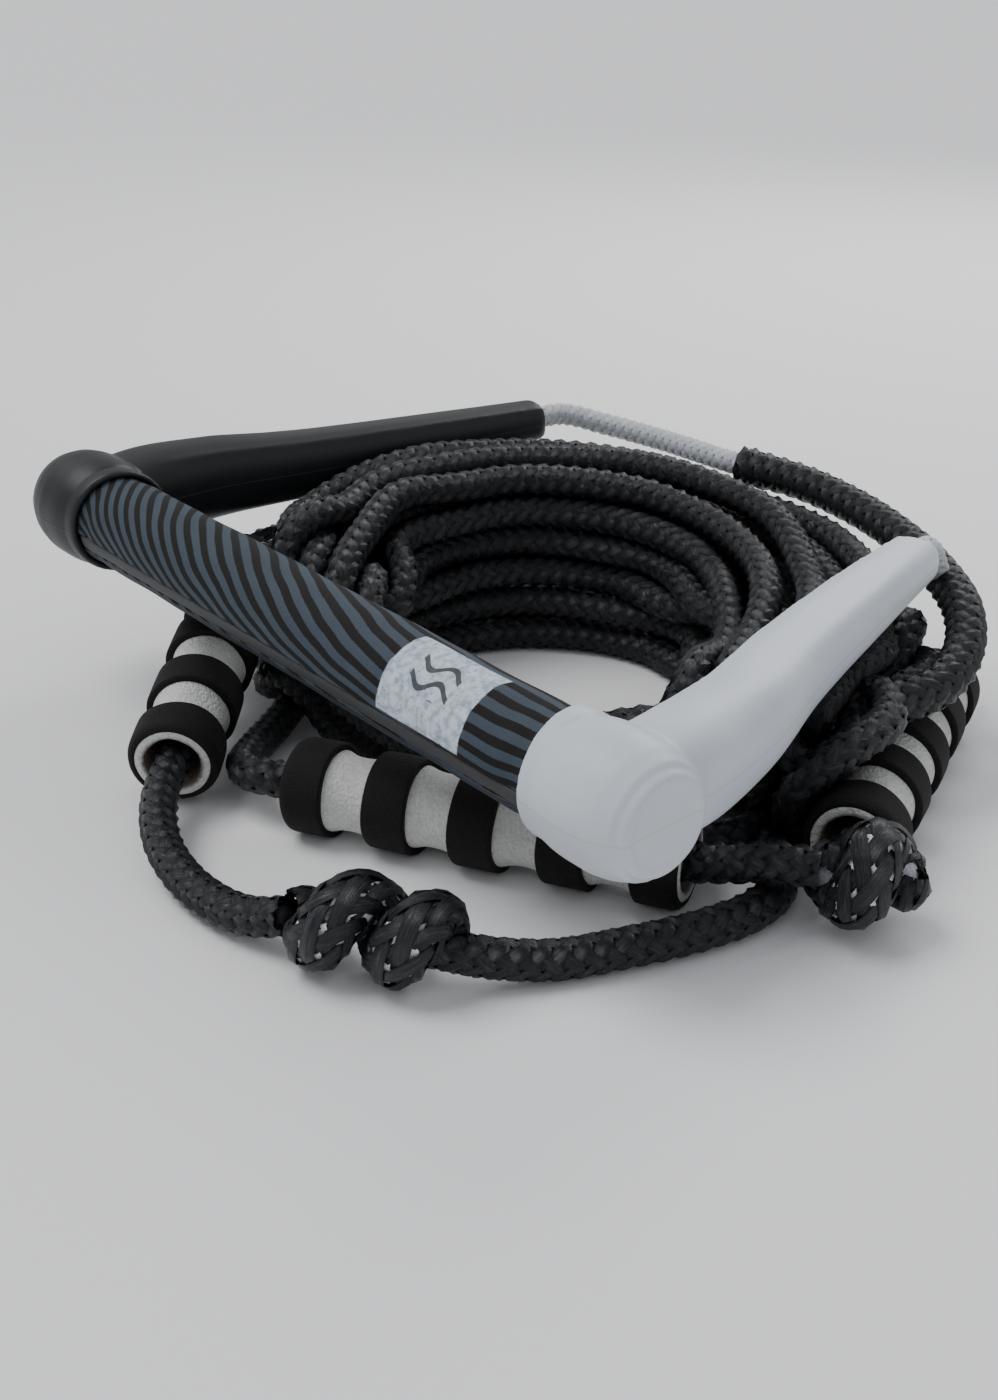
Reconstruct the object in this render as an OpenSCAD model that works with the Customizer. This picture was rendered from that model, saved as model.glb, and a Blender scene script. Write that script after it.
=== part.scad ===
// Tow rope handle with its rope wound up: a padded grip bar between two moulded
// arms, a short bridle, a braided rope in a round pile and three foam floats.
// Origin: under the middle of the whole object, on the surface it lies on.
// +X runs along the grip from the black cap to the white cap, +Y from the grip
// towards the bridle, +Z up. Millimetres.

/* [Handle] */
// Length of the handle over both end caps
handle_l = 280; // [240:1:320]
// Length of foam seen between the two collars
grip_l = 205; // [170:1:230]
// Outside diameter of the tube in the grip
tube_d = 22; // [18:0.5:27]
// Thickness of the foam round the tube
foam_wall = 3.3; // [2:0.1:6]
// Wall of the tube
tube_wall = 2; // [1.5:0.1:3]
// Room between the foam and the top of a float lying under it
grip_clear = 11.2; // [9:0.1:20]
// Fall of the white end below level
grip_fall = 2; // [0:0.5:4]
// Rise of the arms towards their tips
arm_rise = 4.4; // [3:0.1:8]

/* [Arms] */
// Reach of an arm from the grip's axis
arm_reach = 155; // [140:1:165]
// How far each tip stands in from the cap's outer end
arm_toe_in = 55.7; // [50:0.1:60]
// Wall of the collar round the foam
collar_wall = 2.2; // [1.5:0.1:4]
// How far the elbow stands proud of the collar
elbow_swell = 1; // [0.5:0.1:2]
// Width of an arm's tip
tip_w = 15; // [13:0.1:18]
// Height of an arm's tip
tip_h = 13; // [12:0.1:16]
// Diameter of the flat disc on the cap's outer end
disc_d = 26; // [20:0.5:30]

/* [Seam strip] */
// Width of the strip
strip_w = 4.5; // [3:0.1:6]
// Depth of the strip in the foam
strip_t = 1.2; // [0.8:0.1:2]
// Place of the strip round the grip, from the front horizontal
strip_angle = 12; // [-20:1:40]

/* [Rope] */
// Diameter of the braided tow rope
rope_d = 11; // [9:0.1:11.5]
// Diameter of the bridle rope
bridle_d = 8; // [7:0.1:10]
// Diameter of the splice sleeve
sleeve_d = 12.6; // [11:0.1:13]
// Sides of each rope tube
rope_sides = 10; // [8:1:12]
// Height of the pile at its highest
pile_h = 62; // [55:1:64]

/* [Floats] */
// Length of a float
float_l = 112; // [90:1:114]
// Outside diameter of a float's black bands
float_d = 26.5; // [23:0.1:26.6]
// Diameter of the light core between the bands
core_d = 22.6; // [20:0.1:24]
// Hole through a float
float_bore = 16; // [14:0.1:18]
// Width of one black band
band_w = 12.4; // [8:0.1:16]

/* [Hidden] */
$fn = 48;
full_turn = 360;
gap = 0.3;
band_count = 5;
groove_w = (float_l - band_count * band_w) / (band_count - 1);
groove_sag = 1.3;
float_round = 3;
float_z = float_d / 2 + 0.05;
rope_r = rope_d / 2;
bridle_r = bridle_d / 2;
grip_d = tube_d + 2 * foam_wall;
collar_d = grip_d + 2 * collar_wall;
elbow_d = collar_d + 2 * elbow_swell;
grip_z = float_d + grip_clear + grip_d / 2;
grip_c = [-10, -67.5, grip_z];
mouth_x = grip_l / 2;
cap_x = handle_l / 2;
tube_half = mouth_x + 5.5;
tube_r = tube_d / 2;
tube_in_r = tube_r - tube_wall;
foam_half = mouth_x + 6;
foam_in_r = tube_r;
plug_l = 12;
plug_end = tube_half - 4;
plug_bore_r = bridle_r + 0.6;
socket_end = cap_x - 10;
cavity_r = 10;
channel_r = bridle_r + 0.5;
tip_x = cap_x - arm_toe_in;
elbow_c = (mouth_x + cap_x) / 2 + 2;

// Pile: centre, and for each 30 degrees round it from +X the outer radius, the
// inner radius and the height
pile_c = [2, 8];
pile_out = [99, 92, 104, 112, 106, 102, 100, 74, 65, 62, 61, 74];
pile_in = [44, 46, 48, 46, 42, 38, 36, 36, 36, 38, 38, 42];
pile_top = [34, 37, 45, 55, 61, 62, 50, 27, 25, 25, 25, 28];
pile_steps = 36;
pile_sides = 12;

// ---- curves ----
function unit(v) = v / norm(v);
function mixed(a, b, t) = a + (b - a) * t;
function eased(t) = t * t * (3 - 2 * t);

// Value of a table with one entry per 30 degrees, at any angle
function around(table, deg) =
    let (u = (deg % 360 + 360) % 360 / 30, i = floor(u))
    mixed(table[i % 12], table[(i + 1) % 12], eased(u - i));

function heading(p, i) = unit(p[min(i + 1, len(p) - 1)] - p[max(i - 1, 0)]);

// Closed tube along a path. Each ring has its own half width and half height,
// and up is the direction that no part of the path runs along.
module sweep(path, half_w, half_h, sides, up = [0, 0, 1]) {
    n = len(path);
    points = [
        for (i = [0 : n - 1])
            let (t = heading(path, i), a = unit(cross(t, up)), b = cross(t, a))
                for (k = [0 : sides - 1])
                    path[i] + a * half_w[i] * cos(k * full_turn / sides)
                        + b * half_h[i] * sin(k * full_turn / sides)
    ];
    faces = [
        [for (k = [0 : sides - 1]) k],
        [for (k = [sides - 1 : -1 : 0]) (n - 1) * sides + k],
        for (i = [0 : n - 2])
            for (k = [0 : sides - 1])
                let (a = i * sides + k, b = i * sides + (k + 1) % sides)
                    each [[a, a + sides, b], [b, a + sides, b + sides]]
    ];
    polyhedron(points, faces);
}

module rope(path, r, up = [0, 0, 1]) {
    all_r = [for (p = path) r];
    sweep(path, all_r, all_r, rope_sides, up);
}

// ---- handle ----
// A point of the handle's own frame, in the frame of the whole
function handle_pt(p) =
    let (
        q = [p[0], p[1] * cos(arm_rise) - p[2] * sin(arm_rise),
            p[1] * sin(arm_rise) + p[2] * cos(arm_rise)]
    )
    grip_c + [q[0] * cos(grip_fall) + q[2] * sin(grip_fall), q[1],
        -q[0] * sin(grip_fall) + q[2] * cos(grip_fall)];

module in_handle() {
    translate(grip_c)
        rotate([0, grip_fall, 0])
            rotate([arm_rise, 0, 0])
                children();
}

module along_x(x0, x1, r) {
    translate([x0, 0, 0])
        rotate([0, 90, 0])
            cylinder(h = x1 - x0, r = r);
}

module grip_tube() {
    color([0.75, 0.76, 0.78])
        in_handle()
            difference() {
                along_x(-tube_half, tube_half, tube_r);
                along_x(-tube_half - 1, tube_half + 1, tube_in_r);
            }
}

module strip_shape(clear) {
    rotate([180 + strip_angle, 0, 0])
        translate([-foam_half - clear, grip_d / 2 - strip_t - clear, -strip_w / 2 - clear])
            cube([2 * (foam_half + clear), 2 * strip_t, strip_w + 2 * clear]);
}

module grip_foam() {
    color([0.25, 0.3, 0.35])
        in_handle()
            difference() {
                along_x(-foam_half, foam_half, grip_d / 2);
                along_x(-foam_half - 1, foam_half + 1, foam_in_r);
                strip_shape(0.01);
            }
}

module grip_seam_strip() {
    color([0.24, 0.25, 0.26])
        in_handle()
            intersection() {
                strip_shape(0);
                along_x(-foam_half, foam_half, grip_d / 2);
            }
}

// Centre line of an arm and its half width and half height, from elbow to tip
arm_line = [
    [elbow_c, 0, 0], [elbow_c, 9, 0], [elbow_c - 0.5, 20, 0], [elbow_c - 4, 40, 0],
    [mixed(elbow_c, tip_x, 0.42), arm_reach * 0.48, 0],
    [mixed(elbow_c, tip_x, 0.75), arm_reach * 0.76, 0], [tip_x, arm_reach, 0]
];
arm_w = [12, 13.5, 13.5, 12.2, 10.8, 9.3, tip_w / 2];
arm_h = [12, 13.5, 14.4, 13, 11, 9, tip_h / 2];
channel_line = [
    [elbow_c, 1, 0], [elbow_c, 9, 0], [elbow_c - 0.5, 20, 0], [elbow_c - 4, 40, 0],
    [mixed(elbow_c, tip_x, 0.42), arm_reach * 0.48, 0],
    [mixed(elbow_c, tip_x, 0.75), arm_reach * 0.76, 0],
    [tip_x, arm_reach, 0] + 3 * unit([tip_x - elbow_c, arm_reach, 0])
];
channel_w = [
    channel_r + 3.5, channel_r + 3.1, channel_r + 1.9, channel_r, channel_r, channel_r,
    channel_r
];

module cap_solid() {
    rotate([0, 90, 0])
        rotate_extrude()
            polygon([
                [0, mouth_x], [collar_d / 2 - 1, mouth_x], [collar_d / 2, mouth_x + 1],
                [collar_d / 2, mouth_x + 8.4], [collar_d / 2 - 0.5, mouth_x + 8.8],
                [collar_d / 2, mouth_x + 9.2], [elbow_d / 2, mouth_x + 16],
                [elbow_d / 2, cap_x - 13], [elbow_d / 2 - 1.2, cap_x - 7],
                [elbow_d / 2 - 3, cap_x - 3], [disc_d / 2 + 0.4, cap_x - 1.2],
                [disc_d / 2, cap_x], [0, cap_x]
            ]);
}

module cap_moulding() {
    difference() {
        union() {
            cap_solid();
            sweep(arm_line, arm_w, arm_h, 20);
        }
        along_x(mouth_x - 1, foam_half, grip_d / 2);
        along_x(foam_half - 1, foam_half + 4, tube_r + 0.1);
        along_x(foam_half + 3, socket_end, cavity_r);
        sweep(channel_line, channel_w, channel_w, 12);
    }
}

module cap_black() {
    color([0.11, 0.12, 0.13])
        in_handle()
            mirror([1, 0, 0])
                cap_moulding();
}

module cap_white() {
    color([0.82, 0.84, 0.87])
        in_handle()
            cap_moulding();
}

module plug(side) {
    x0 = side > 0 ? plug_end - plug_l : -plug_end;
    difference() {
        along_x(x0, x0 + plug_l, tube_in_r);
        along_x(x0 - 1, x0 + plug_l + 1, plug_bore_r);
    }
}

module tube_plug_left() {
    color([0.3, 0.3, 0.32])
        in_handle()
            plug(-1);
}

module tube_plug_right() {
    color([0.3, 0.3, 0.32])
        in_handle()
            plug(1);
}

// Half of the bridle rope in the handle, from the middle of the grip to a tip
inner_half = [
    [0, 0, 0], [plug_end - plug_l - 2, 0, 0], [plug_end, 0.2, 0],
    [elbow_c - 11, 3, 0], [elbow_c - 4, 8, 0], [elbow_c - 1.5, 15, 0],
    [elbow_c - 1.6, 24, 0], [elbow_c - 4, 40, 0],
    [mixed(elbow_c, tip_x, 0.42), arm_reach * 0.48, 0],
    [mixed(elbow_c, tip_x, 0.75), arm_reach * 0.76, 0], [tip_x, arm_reach, 0]
];
inner_n = len(inner_half);
inner_line = [
    for (i = [inner_n - 1 : -1 : 1]) [-inner_half[i][0], inner_half[i][1], 0],
    for (i = [1 : inner_n - 1]) inner_half[i]
];

module bridle_inner() {
    color([0.9, 0.91, 0.92])
        in_handle()
            rope(inner_line, bridle_r);
}

// ---- bridle outside the handle ----
tip_left = handle_pt([-tip_x, arm_reach, 0]);
sleeve_line = [
    [-24, 118, 60], [-2, 124, 58], [22, 124, 55], [46, 118, 52], [68, 108, 49],
    [88, 94, 45], [99, 80, 40], [104, 62, 36], [100, 46, 34], [86, 34, 28]
];
tip_dir = unit([(tip_x - elbow_c) * 0.25, arm_reach * 0.24, 0]);
leg_left_line = [
    handle_pt([-tip_x, arm_reach, 0] + gap * [-tip_dir[0], tip_dir[1], 0]),
    handle_pt([-tip_x, arm_reach, 0] + 9 * [-tip_dir[0], tip_dir[1], 0]),
    tip_left + [14, 20, 0.5], tip_left + [32, 27, 0.5],
    [-44, 116, 61.5], sleeve_line[0] + 0.5 * unit(sleeve_line[0] - sleeve_line[1])
];
leg_right_line = [
    handle_pt([tip_x, arm_reach, 0] + gap * tip_dir),
    handle_pt([tip_x, arm_reach, 0] + 7 * tip_dir),
    sleeve_line[4] + [3, -5, 2]
];

module bridle_leg_left() {
    color([0.9, 0.91, 0.92])
        rope(leg_left_line, bridle_r);
}

module bridle_leg_right() {
    color([0.9, 0.91, 0.92])
        rope(leg_right_line, bridle_r);
}

module splice_sleeve() {
    color([0.08, 0.08, 0.09])
        rope(sleeve_line, sleeve_d / 2);
}

// ---- pile ----
// Point k of the pile's section at an angle round it, lifted off by off
function pile_pt(deg, k, off) =
    let (
        ro = around(pile_out, deg) + off,
        ri = around(pile_in, deg) - off,
        h = around(pile_top, deg) * pile_h / max(pile_top) + off,
        u = k * full_turn / pile_sides,
        r = (ro + ri) / 2 + (ro - ri) / 2 * cos(u) * (sin(u) > 0.7 ? 0.86 : 1),
        z = sin(u) < -0.3 ? 0.1 : h * [0.30, 0.72, 0.93, 1, 0.93, 0.72, 0.30][k % pile_sides]
    )
    [pile_c[0] + r * cos(deg), pile_c[1] + r * sin(deg), z];

module rope_coil() {
    points = [
        for (i = [0 : pile_steps - 1])
            for (k = [0 : 8])
                k < 7 ? pile_pt(i * full_turn / pile_steps, k, 0)
                    : let (
                        deg = i * full_turn / pile_steps,
                        r = k == 7 ? around(pile_in, deg) + 3 : around(pile_out, deg) - 3
                    ) [pile_c[0] + r * cos(deg), pile_c[1] + r * sin(deg), 0]
    ];
    faces = [
        for (i = [0 : pile_steps - 1])
            for (k = [0 : 8])
                let (
                    a = i * 9 + k,
                    b = i * 9 + (k + 1) % 9,
                    c = (i + 1) % pile_steps * 9 + k,
                    d = (i + 1) % pile_steps * 9 + (k + 1) % 9
                )
                each [[a, b, c], [c, b, d]]
    ];
    color([0.07, 0.07, 0.08])
        polyhedron(points, faces);
}

// A strand laid over the pile at an angle round it, leaning by lean degrees
function wrap_line(deg, lean) = [
    for (k = [0 : 6])
        let (p = pile_pt(deg + lean * (k - 3) / 6, k, rope_r + gap))
        k == 0 || k == 6 ? [p[0], p[1], rope_r + 0.1] : p
];

module wrap_strand(deg, lean) {
    color([0.09, 0.09, 0.1])
        rope(wrap_line(deg, lean), rope_r, [-sin(deg), cos(deg), 0]);
}

module wrap_left_a() {
    wrap_strand(168, 10);
}

module wrap_left_b() {
    wrap_strand(150, 8);
}

module wrap_right_a() {
    wrap_strand(102, 6);
}

module wrap_right_b() {
    wrap_strand(81, 5);
}

fold_line = [
    [-44, 82, 57.5], [-47, 90, 64.5], [-42, 97, 68.5], [-34, 101, 64.5], [-30, 104, 56]
];

module top_fold() {
    color([0.09, 0.09, 0.1])
        rope(fold_line, rope_r);
}

// ---- floats ----
// Near end of each float's axis, and the direction it runs away in
float_at = [[-29, -103, float_z + 0.8], [2, -81, float_z], [122, 8, float_z]];
float_dir = [
    unit([-0.72, 0.69, 0.175]), unit([100, 52, 0]), unit([-0.45, 0.893, 0])
];

module in_float(i) {
    d = float_dir[i];
    translate(float_at[i])
        rotate([0, acos(d[2]), atan2(d[1], d[0])])
            children();
}

function band_z(b) = (b - 1) * (band_w + groove_w);

// Ring with a hollow side, as the light core shows between two bands
module core_shape() {
    rotate_extrude()
        polygon([
            [float_bore / 2, 0], [core_d / 2, 0],
            for (b = [1 : band_count - 1])
                each [
                    [core_d / 2, band_z(b) + band_w],
                    [core_d / 2 - groove_sag * 0.75, band_z(b) + band_w + groove_w * 0.22],
                    [core_d / 2 - groove_sag, band_z(b) + band_w + groove_w * 0.5],
                    [core_d / 2 - groove_sag * 0.75, band_z(b) + band_w + groove_w * 0.78],
                    [core_d / 2, band_z(b + 1)]
                ],
            [core_d / 2, float_l], [float_bore / 2, float_l]
        ]);
}

module band_shape(b) {
    low = b == 1 ? float_round / 2 : 0.3;
    high = b == band_count ? float_round / 2 : 0.3;
    translate([0, 0, band_z(b)])
        rotate_extrude()
            polygon([
                [core_d / 2, 0], [float_d / 2 - low, 0], [float_d / 2, low],
                [float_d / 2, band_w - high], [float_d / 2 - high, band_w],
                [core_d / 2, band_w]
            ]);
}

module float_core(i) {
    color([0.83, 0.84, 0.82])
        in_float(i)
            core_shape();
}

module float_band(i, b) {
    color([0.1, 0.09, 0.09])
        in_float(i)
            band_shape(b);
}

// ---- knots and runs ----
knot_r = 14;
knot_right_tip = [147, 2, 20, 13];

module knot_shape(lobes) {
    color([0.09, 0.09, 0.1])
        hull()
            for (q = lobes)
                translate([q[0], q[1], q[2]])
                    sphere(r = q[3], $fn = 24);
}

module knot_left() {
    knot_shape([
        [67, -119, knot_r + 0.2, knot_r], [84, -109, knot_r + 0.5, knot_r],
        [95, -98, 11.2, 11]
    ]);
}

module knot_right() {
    knot_shape([[137, -9, knot_r + 0.2, knot_r], knot_right_tip]);
}

function float_pt(i, s) = float_at[i] + float_dir[i] * s;

run_left_line = [
    [-98, 22, 36], [-111, 12, 36.5], [-117.5, -4, 36.4], float_pt(0, float_l + 12),
    float_pt(0, float_l), float_pt(0, 0), float_pt(0, -14), [0, -123, 8],
    [26, -127, rope_r + 0.1], [44, -125, 7], [56, -121, 11]
];
run_middle_line = [
    [-80, -12, 13], [-66, -32, 8], [-50, -54, 6], [-36, -72, 7], [-22, -84, 10],
    float_pt(1, -14), float_pt(1, -2), float_pt(1, float_l + 3),
    [113, -23.4, 15.5], [121, -19, 17.6], [129, -13, 17]
];
run_right_line = [
    float_pt(2, -9), float_pt(2, -3), float_pt(2, float_l + 3),
    float_pt(2, float_l + 14), [58, 118, 14], [46, 112, 15]
];
run_front_line = [
    [98, -92, 8], [105, -79, rope_r + 0.1], [112, -62, rope_r + 0.1],
    [118, -42, rope_r + 0.1], [119.5, -25, rope_r + 0.1], [115.5, -11.5, rope_r + 0.1],
    [107, -2.5, rope_r + 0.1], [97.5, 4, rope_r + 0.1]
];

module strand(line) {
    color([0.09, 0.09, 0.1])
        rope(line, rope_r);
}

module rope_run_left() {
    strand(run_left_line);
}

module rope_run_middle() {
    strand(run_middle_line);
}

module rope_run_right() {
    strand(run_right_line);
}

module rope_run_front() {
    strand(run_front_line);
}

// ---- whole ----
// Ends of the whole object along X, which put its origin at its middle
far_left = grip_c[0] - cap_x * cos(grip_fall) - disc_d / 2 * sin(grip_fall);
far_right = knot_right_tip[0] + knot_right_tip[3];
frame_x = -round((far_left + far_right) / 2);
frame_y = 1;

module placed() {
    translate([frame_x, frame_y, 0])
        children();
}

placed() grip_tube();
placed() grip_foam();
placed() grip_seam_strip();
placed() cap_black();
placed() cap_white();
placed() tube_plug_left();
placed() tube_plug_right();
placed() bridle_inner();
placed() bridle_leg_left();
placed() bridle_leg_right();
placed() splice_sleeve();
placed() rope_coil();
placed() rope_run_left();
placed() knot_left();
placed() rope_run_front();
placed() rope_run_middle();
placed() knot_right();
placed() rope_run_right();
placed() wrap_left_a();
placed() wrap_left_b();
placed() wrap_right_a();
placed() wrap_right_b();
placed() top_fold();
for (i = [0 : 2]) {
    name = ["left", "middle", "right"][i];
    placed() float_core(i);
    for (b = [1 : band_count])
        placed() float_band(i, b);
}
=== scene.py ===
"""Looks of a wound tow rope, its foam grip handle, its knots and its floats.

Lengths inside the classes are millimetres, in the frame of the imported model,
and become metres where a mesh is made.
"""

import logging
import math
from dataclasses import dataclass
from enum import Enum
from typing import Any, Iterable, Sequence

import bmesh
import bpy
import numpy as np
from mathutils import Matrix, Vector


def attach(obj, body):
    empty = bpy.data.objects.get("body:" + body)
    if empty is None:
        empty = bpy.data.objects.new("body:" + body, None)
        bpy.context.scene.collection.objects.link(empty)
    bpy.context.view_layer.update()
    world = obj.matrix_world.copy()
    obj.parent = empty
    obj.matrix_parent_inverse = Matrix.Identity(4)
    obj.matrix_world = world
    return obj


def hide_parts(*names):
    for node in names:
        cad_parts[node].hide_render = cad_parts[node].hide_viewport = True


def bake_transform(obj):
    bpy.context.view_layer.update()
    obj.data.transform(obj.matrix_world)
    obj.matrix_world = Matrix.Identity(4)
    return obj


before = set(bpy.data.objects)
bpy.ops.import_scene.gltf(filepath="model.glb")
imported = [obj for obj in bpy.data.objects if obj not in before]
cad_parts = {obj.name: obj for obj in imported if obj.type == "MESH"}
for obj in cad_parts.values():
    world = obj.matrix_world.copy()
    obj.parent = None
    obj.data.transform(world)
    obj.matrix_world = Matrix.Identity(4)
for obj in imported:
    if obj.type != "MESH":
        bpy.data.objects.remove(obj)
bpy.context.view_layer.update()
LOG = logging.getLogger("tow_rope")

MM = 0.001
FULL_TURN = 2 * math.pi
# Step from the frame that the routes are drawn in to the frame of the model
TO_MODEL = np.array([-5.0, 1.0, 0.0])
# Radius that the pile's rope keeps from the middle of a handle's arm
ARM_ROOM = 12.5
# How far the strand map keeps from the edges of a strand
MAP_EDGE = 0.01
Colour = tuple[float, float, float]


class Side(Enum):
    """The two ends of the handle."""

    LEFT = -1
    RIGHT = 1


# ---------------------------------------------------------------- shading
class Sock:
    """A number in a material's tree that can be used in arithmetic."""

    def __init__(self, shader: "Shader", link: Any) -> None:
        """Wraps one output socket of a shader's tree."""
        self.shader = shader
        self.link = link

    def __add__(self, other: Any) -> "Sock":
        """Sum."""
        return self.shader.math("ADD", self, other)

    def __radd__(self, other: Any) -> "Sock":
        """Sum with the number first."""
        return self.shader.math("ADD", other, self)

    def __sub__(self, other: Any) -> "Sock":
        """Difference."""
        return self.shader.math("SUBTRACT", self, other)

    def __rsub__(self, other: Any) -> "Sock":
        """Difference with the number first."""
        return self.shader.math("SUBTRACT", other, self)

    def __mul__(self, other: Any) -> "Sock":
        """Product."""
        return self.shader.math("MULTIPLY", self, other)

    def __rmul__(self, other: Any) -> "Sock":
        """Product with the number first."""
        return self.shader.math("MULTIPLY", other, self)

    def __truediv__(self, other: Any) -> "Sock":
        """Quotient."""
        return self.shader.math("DIVIDE", self, other)


class Shader:
    """One material's node tree, with one method that adds any node."""

    def __init__(self, name: str) -> None:
        """Starts an empty material.

        Args:
            name: The material's name.
        """
        self.material = bpy.data.materials.new(name)
        self.material.use_nodes = True
        self.tree = self.material.node_tree
        self.surface = self.tree.nodes["Principled BSDF"]

    def add(
        self,
        kind: str,
        settings: dict[str, Any] | None = None,
        inputs: dict[Any, Any] | None = None,
        output: Any = 0,
    ) -> Sock:
        """Adds one node.

        Args:
            kind: The node's type.
            settings: Values set on the node itself, before its sockets.
            inputs: Values or links for its sockets, by name or number.
            output: The output socket to hand back.

        Returns:
            The chosen output.
        """
        node = self.tree.nodes.new(kind)
        for key, value in (settings or {}).items():
            setattr(node, key, value)
        for key, value in (inputs or {}).items():
            self.feed(node.inputs[key], value)
        return Sock(self, node.outputs[output])

    def feed(self, socket: Any, value: Any) -> None:
        """Links a value to a socket, or sets it there.

        Args:
            socket: The input socket.
            value: A Sock, a number, a vector or a colour.
        """
        if isinstance(value, Sock):
            self.tree.links.new(value.link, socket)
        elif socket.type == "RGBA" and len(value) == 3:
            socket.default_value = (*value, 1)
        else:
            socket.default_value = value

    def math(self, operation: str, *values: Any) -> Sock:
        """Adds a Math node on numbers or Socks."""
        inputs = dict(enumerate(values))
        return self.add("ShaderNodeMath", {"operation": operation}, inputs)

    def mix(self, factor: Any, first: Any, second: Any) -> Sock:
        """Mixes two colours.

        Args:
            factor: 0 for the first colour, 1 for the second.
            first: A colour or a link.
            second: A colour or a link.

        Returns:
            The mixed colour.
        """
        inputs = {0: factor, 6: first, 7: second}
        return self.add("ShaderNodeMix", {"data_type": "RGBA"}, inputs, 2)

    def step(self, value: Any, low: float, high: float) -> Sock:
        """Smooth step of a value from 0 at low to 1 at high."""
        settings = {"interpolation_type": "SMOOTHSTEP"}
        return self.add("ShaderNodeMapRange", settings, {0: value, 1: low, 2: high})

    def place(self) -> Sock:
        """The point on the piece, in its own frame and in metres."""
        return self.add("ShaderNodeTexCoord", output="Object")

    def axes(self, vector: Any) -> list[Sock]:
        """The three parts of a vector."""
        node = self.add("ShaderNodeSeparateXYZ", inputs={0: vector}).link.node
        return [Sock(self, out) for out in node.outputs]

    def noise(self, where: Any, scale: float, detail: float = 3.0) -> Sock:
        """Noise at a scale given per metre, centred on a half."""
        inputs = {"Vector": where, "Scale": scale, "Detail": detail}
        return self.add("ShaderNodeTexNoise", inputs=inputs)

    def cells(self, where: Any, scale: float) -> Sock:
        """Distance to the nearest of scattered points, for pebbles and pores."""
        inputs = {"Vector": where, "Scale": scale}
        return self.add("ShaderNodeTexVoronoi", inputs=inputs)

    def bump(self, height: Any, depth: float) -> Sock:
        """A normal from a height.

        Args:
            height: 0 to 1.
            depth: What a height of 1 stands for, in metres.

        Returns:
            The bumped normal.
        """
        inputs = {"Height": height, "Distance": depth, "Strength": 1.0}
        return self.add("ShaderNodeBump", inputs=inputs)

    def finish(self, **sockets: Any) -> bpy.types.Material:
        """Feeds the surface's sockets and hands back the material.

        Args:
            sockets: Values by socket name, with _ for a space.

        Returns:
            The finished material.
        """
        for name, value in sockets.items():
            self.feed(self.surface.inputs[name.replace("_", " ")], value)
        return self.material


@dataclass(frozen=True)
class Rubber:
    """Satin moulded rubber with faint cloudiness, scuffs and a mould line."""

    name: str
    tone: Colour
    cloud: Colour
    scuff: Colour
    seam: Colour
    gloss: float
    parting_up: Colour
    parting_at: float

    def material(self) -> bpy.types.Material:
        """Builds the material."""
        sh = Shader(self.name)
        at = sh.place()
        settings, inputs = {"operation": "DOT_PRODUCT"}, {0: at, 1: self.parting_up}
        z = sh.add("ShaderNodeVectorMath", settings, inputs, "Value") - self.parting_at
        cloudy = sh.step(sh.noise(at, 28, 4), 0.35, 0.68)
        scratch = sh.step(sh.noise(at, 420, 6), 0.66, 0.74)
        patches = sh.step(sh.noise(at, 60, 2), 0.5, 0.66)
        line = 1 - sh.step(sh.math("ABSOLUTE", z), 0.0001, 0.00042)
        worn = scratch * patches
        colour = sh.mix(cloudy, self.tone, self.cloud)
        colour = sh.mix(worn * 0.6, colour, self.scuff)
        colour = sh.mix(line * 0.35, colour, self.seam)
        skin = sh.noise(at, 2600, 2) * 0.6 + sh.noise(at, 900, 2) * 0.4
        height = skin * 0.5 + line * 0.9
        return sh.finish(
            Base_Color=colour,
            Roughness=self.gloss + cloudy * 0.07 + worn * 0.14,
            Normal=sh.bump(height, 0.00007),
            Specular_IOR_Level=0.42,
        )


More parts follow.
